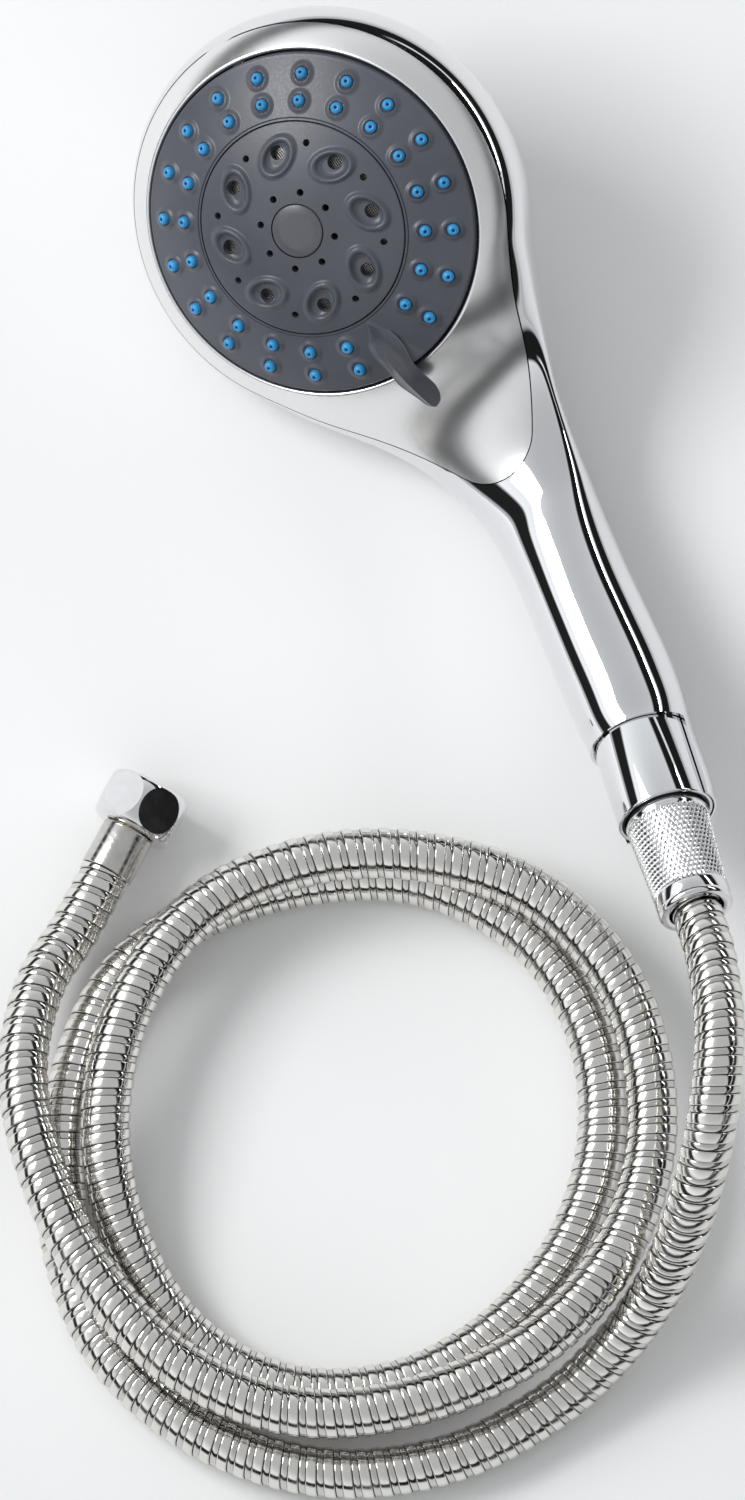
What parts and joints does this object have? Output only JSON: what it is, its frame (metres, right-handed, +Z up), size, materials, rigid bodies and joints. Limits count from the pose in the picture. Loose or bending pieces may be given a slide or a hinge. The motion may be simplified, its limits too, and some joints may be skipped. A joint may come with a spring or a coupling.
{
  "type": "handheld shower head with hose",
  "caption": "Chrome handheld shower head with a turning spray selector face on a hollow handle, joined by a conical nut to a flexible metal hose that ends in a hexagonal nut.",
  "frame": {"origin": "middle of the handset's box at its base, on the surface that the handset and hose lie on", "axes": "+Y towards the head of the handset, -Y towards its hose nut, +Z up; the spray face looks up and leans towards -X"},
  "size_m": [0.2805, 0.3685, 0.0795],
  "materials": {
    "shell_chrome": "polished",
    "cover_chrome": "soft satin",
    "face_grey": "fine matt texture",
    "nozzle_blue": "silky silicone",
    "seal_black": "matt",
    "white_plastic": "moulded",
    "brass": "machined",
    "steel": "bright",
    "hose_steel": "polished double-lock strip",
    "nut_chrome": "polished, knurled on the conical nut"
  },
  "bodies": {
    "handset": {"rear_shell": "shell_chrome", "front_cover": "cover_chrome", "end_collar": "shell_chrome", "collar_seal": "seal_black", "pivot_screw": "steel", "face_seal": "seal_black", "valve_plate": "white_plastic", "port_gasket": "seal_black", "pivot_post": "brass", "engine_housing": "white_plastic", "inlet_seal": "seal_black", "housing_screw_1": "steel", "housing_screw_2": "steel", "housing_screw_3": "steel", "waterway_tube": "white_plastic", "inlet_spigot": "brass", "flow_limiter": "white_plastic", "near_washer": "seal_black", "near_fitting": "brass", "hose": "hose_steel", "far_ferrule": "steel", "far_insert": "brass", "far_washer": "seal_black"},
    "selector": {"spray_ring": "face_grey", "spray_centre": "face_grey", "centre_cap": "face_grey", "nozzle_mat": "nozzle_blue", "mesh_screen": "steel", "spray_rotor": "white_plastic"},
    "conical_nut": {"conical_nut": "nut_chrome"},
    "hex_nut": {"hex_nut": "nut_chrome"},
    "detent_pin": {"detent_pin": "steel", "detent_spring": "steel"}
  },
  "joints": [
    {"name": "selector_turn", "type": "hinge", "parent": "handset", "child": "selector", "pos_m": [-0.00765, 0.07238, 0.05259], "axis": [-0.524, -0.1479, 0.8388], "range_deg": [-50, 50]},
    {"name": "conical_nut_turn", "type": "hinge", "parent": "handset", "child": "conical_nut", "pos_m": [-0.02178, -0.13003, 0.04022], "axis": [-0.2854, -0.9065, 0.3112], "continuous": true},
    {"name": "hex_nut_turn", "type": "hinge", "parent": "handset", "child": "hex_nut", "pos_m": [-0.13281, -0.03113, 0.0129], "axis": [0.8829, 0.4695, 0], "continuous": true},
    {"name": "detent_pin_press", "type": "slide", "parent": "handset", "child": "detent_pin", "axis": [-0.524, -0.1479, 0.8388], "range_m": [-0.0012, 0], "stiffness_N_per_m": 1500, "deforming": ["detent_spring"]}
  ]
}
